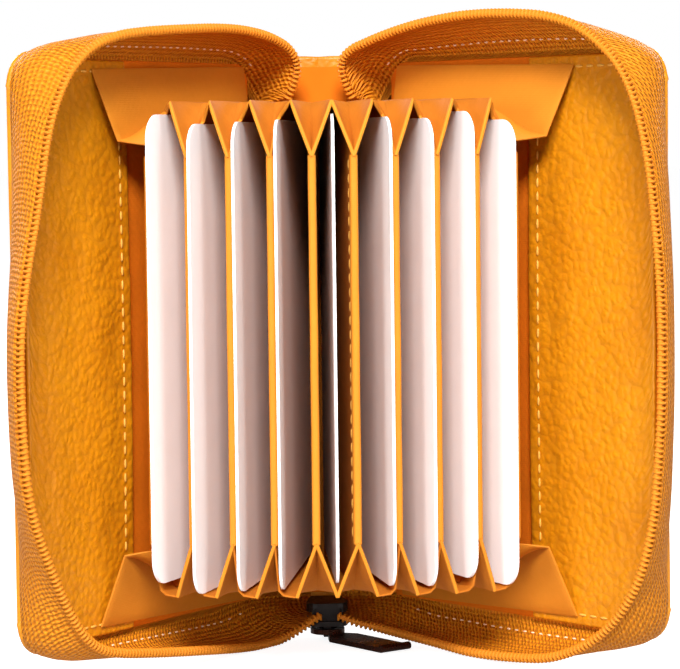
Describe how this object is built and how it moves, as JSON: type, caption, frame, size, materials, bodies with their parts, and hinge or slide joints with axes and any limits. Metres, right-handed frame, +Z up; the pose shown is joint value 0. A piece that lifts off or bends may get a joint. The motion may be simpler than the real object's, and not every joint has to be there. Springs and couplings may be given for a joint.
{
  "type": "zip card holder",
  "caption": "Zip-around leather card holder standing half open like a book, with a fan of folded card pockets on its spine and a coil zip round its covers.",
  "frame": {"origin": "on the surface it stands on, under the middle of its footprint", "axes": "+Z up along the spine, +Y out of the spine's back, +X to the right seen from the open side"},
  "size_m": [0.1194, 0.0806, 0.1208],
  "materials": {
    "cover_leather": "pebbled grain, satin",
    "slip_pocket_leather": "pebbled grain, satin",
    "board": "plain",
    "lining": "woven",
    "pocket_fabric": "fine twill",
    "pocket_wall": "fine twill over card",
    "zip_tape": "knitted tape",
    "zip_coil": "satin",
    "card": "smooth",
    "slider_metal": "dark gunmetal",
    "pull_tab": "dark bronze"
  },
  "bodies": {
    "spine": {"spine_leather": "cover_leather", "spine_lining": "lining", "pocket_base_strip": "board", "pocket_fabric_5": "pocket_fabric", "left_hinge_fold": "cover_leather", "right_hinge_fold": "cover_leather", "left_zip_tail_top": "zip_tape", "left_zip_tail_bottom": "zip_tape", "right_zip_tail_top": "zip_tape", "right_zip_tail_bottom": "zip_tape", "left_end_gusset_top": "pocket_fabric", "left_end_gusset_bottom": "pocket_fabric", "right_end_gusset_top": "pocket_fabric", "right_end_gusset_bottom": "pocket_fabric"},
    "left_cover": {"left_cover_leather": "cover_leather", "left_cover_board": "board", "left_cover_lining": "lining", "left_cover_slip_pocket": "slip_pocket_leather", "left_cover_zip_tape": "zip_tape", "left_zip_coil": "zip_coil"},
    "right_cover": {"right_cover_leather": "cover_leather", "right_cover_board": "board", "right_cover_lining": "lining", "right_cover_slip_pocket": "slip_pocket_leather", "right_cover_zip_tape": "zip_tape", "right_zip_coil": "zip_coil"},
    "left_end_wall": {"left_end_wall": "pocket_wall"},
    "divider_1": {"divider_1": "pocket_wall", "pocket_fabric_1": "pocket_fabric"},
    "divider_2": {"divider_2": "pocket_wall", "pocket_fabric_2": "pocket_fabric"},
    "divider_3": {"divider_3": "pocket_wall", "pocket_fabric_3": "pocket_fabric"},
    "divider_4": {"divider_4": "pocket_wall", "pocket_fabric_4": "pocket_fabric"},
    "divider_5": {"divider_5": "pocket_wall", "pocket_fabric_6": "pocket_fabric"},
    "divider_6": {"divider_6": "pocket_wall", "pocket_fabric_7": "pocket_fabric"},
    "divider_7": {"divider_7": "pocket_wall", "pocket_fabric_8": "pocket_fabric"},
    "divider_8": {"divider_8": "pocket_wall", "pocket_fabric_9": "pocket_fabric"},
    "right_end_wall": {"right_end_wall": "pocket_wall"},
    "card_1": {"card_1": "card"},
    "card_2": {"card_2": "card"},
    "card_3": {"card_3": "card"},
    "card_4": {"card_4": "card"},
    "card_5": {"card_5": "card"},
    "card_6": {"card_6": "card"},
    "card_7": {"card_7": "card"},
    "card_8": {"card_8": "card"},
    "card_9": {"card_9": "card"},
    "zip_slider": {"zip_slider": "slider_metal", "zip_bail": "slider_metal"},
    "zip_pull_tab": {"zip_pull_tab": "pull_tab"}
  },
  "joints": [
    {"name": "left_cover_hinge", "type": "hinge", "parent": "spine", "child": "left_cover", "pos_m": [-0.01459, 0.03871, 0.0604], "axis": [0, 0, -1], "range_deg": [-35.8, 12], "deforming": ["left_hinge_fold", "left_zip_tail_top", "left_zip_tail_bottom", "left_end_gusset_top", "left_end_gusset_bottom"]},
    {"name": "right_cover_hinge", "type": "hinge", "parent": "spine", "child": "right_cover", "pos_m": [0.01191, 0.03871, 0.0604], "axis": [0, 0, 1], "range_deg": [-38.4, 12], "deforming": ["right_hinge_fold", "right_zip_tail_top", "right_zip_tail_bottom", "right_end_gusset_top", "right_end_gusset_bottom"]},
    {"name": "divider_4_fold", "type": "hinge", "parent": "spine", "child": "divider_4", "pos_m": [-0.00254, 0.03651, 0.0604], "axis": [0, 0, -1], "range_deg": [-2.73, 0.92], "deforming": ["pocket_fabric_5"]},
    {"name": "divider_3_fold", "type": "hinge", "parent": "divider_4", "child": "divider_3", "pos_m": [-0.00494, 0.03651, 0.0604], "axis": [0, 0, -1], "range_deg": [-5.44, 1.83], "deforming": ["pocket_fabric_4"]},
    {"name": "divider_2_fold", "type": "hinge", "parent": "divider_3", "child": "divider_2", "pos_m": [-0.00734, 0.03651, 0.0604], "axis": [0, 0, -1], "range_deg": [-5.44, 1.83], "deforming": ["pocket_fabric_3"]},
    {"name": "divider_1_fold", "type": "hinge", "parent": "divider_2", "child": "divider_1", "pos_m": [-0.00974, 0.03651, 0.0604], "axis": [0, 0, -1], "range_deg": [-5.44, 1.83], "deforming": ["pocket_fabric_2"]},
    {"name": "left_end_wall_fold", "type": "hinge", "parent": "divider_1", "child": "left_end_wall", "pos_m": [-0.01214, 0.03651, 0.0604], "axis": [0, 0, -1], "range_deg": [-5.44, 1.83], "deforming": ["pocket_fabric_1"]},
    {"name": "divider_5_fold", "type": "hinge", "parent": "spine", "child": "divider_5", "pos_m": [-0.00014, 0.03651, 0.0604], "axis": [0, 0, 1], "range_deg": [-2.73, 0.86]},
    {"name": "divider_6_fold", "type": "hinge", "parent": "divider_5", "child": "divider_6", "pos_m": [0.00226, 0.03651, 0.0604], "axis": [0, 0, 1], "range_deg": [-5.44, 1.71], "deforming": ["pocket_fabric_6"]},
    {"name": "divider_7_fold", "type": "hinge", "parent": "divider_6", "child": "divider_7", "pos_m": [0.00466, 0.03651, 0.0604], "axis": [0, 0, 1], "range_deg": [-5.44, 1.71], "deforming": ["pocket_fabric_7"]},
    {"name": "divider_8_fold", "type": "hinge", "parent": "divider_7", "child": "divider_8", "pos_m": [0.00706, 0.03651, 0.0604], "axis": [0, 0, 1], "range_deg": [-5.44, 1.71], "deforming": ["pocket_fabric_8"]},
    {"name": "right_end_wall_fold", "type": "hinge", "parent": "divider_8", "child": "right_end_wall", "pos_m": [0.00946, 0.03651, 0.0604], "axis": [0, 0, 1], "range_deg": [-5.44, 1.71], "deforming": ["pocket_fabric_9"]},
    {"name": "card_1_slide", "type": "slide", "parent": "left_end_wall", "child": "card_1", "axis": [-0.4137, -0.9104, 0], "range_m": [0, 0.05]},
    {"name": "card_2_slide", "type": "slide", "parent": "divider_1", "child": "card_2", "axis": [-0.3257, -0.9455, 0], "range_m": [0, 0.05]},
    {"name": "card_3_slide", "type": "slide", "parent": "divider_2", "child": "card_3", "axis": [-0.2347, -0.9721, 0], "range_m": [0, 0.05]},
    {"name": "card_4_slide", "type": "slide", "parent": "divider_3", "child": "card_4", "axis": [-0.1417, -0.9899, 0], "range_m": [0, 0.05]},
    {"name": "card_5_slide", "type": "slide", "parent": "spine", "child": "card_5", "axis": [0, -1, 0], "range_m": [0, 0.05]},
    {"name": "card_6_slide", "type": "slide", "parent": "divider_6", "child": "card_6", "axis": [0.1417, -0.9899, 0], "range_m": [0, 0.05]},
    {"name": "card_7_slide", "type": "slide", "parent": "divider_7", "child": "card_7", "axis": [0.2347, -0.9721, 0], "range_m": [0, 0.05]},
    {"name": "card_8_slide", "type": "slide", "parent": "divider_8", "child": "card_8", "axis": [0.3257, -0.9455, 0], "range_m": [0, 0.05]},
    {"name": "card_9_slide", "type": "slide", "parent": "right_end_wall", "child": "card_9", "axis": [0.4137, -0.9104, 0], "range_m": [0, 0.05]},
    {"name": "zip_slider_travel", "type": "slide", "parent": "spine", "child": "zip_slider", "axis": [0, -1, 0], "range_m": [0, 0.012]},
    {"name": "zip_pull_swing", "type": "hinge", "parent": "zip_slider", "child": "zip_pull_tab", "pos_m": [-0.00134, 0.02861, 0.00165], "axis": [0, 0, -1], "range_deg": [0, 70]}
  ],
  "couplings": [
    {"joint": "divider_4_fold", "follows": "left_cover_hinge", "ratio": 0.075838},
    {"joint": "divider_3_fold", "follows": "left_cover_hinge", "ratio": 0.15168},
    {"joint": "divider_2_fold", "follows": "left_cover_hinge", "ratio": 0.15168},
    {"joint": "divider_1_fold", "follows": "left_cover_hinge", "ratio": 0.15168},
    {"joint": "left_end_wall_fold", "follows": "left_cover_hinge", "ratio": 0.15168},
    {"joint": "divider_5_fold", "follows": "right_cover_hinge", "ratio": 0.070703},
    {"joint": "divider_6_fold", "follows": "right_cover_hinge", "ratio": 0.14141},
    {"joint": "divider_7_fold", "follows": "right_cover_hinge", "ratio": 0.14141},
    {"joint": "divider_8_fold", "follows": "right_cover_hinge", "ratio": 0.14141},
    {"joint": "right_end_wall_fold", "follows": "right_cover_hinge", "ratio": 0.14141}
  ]
}
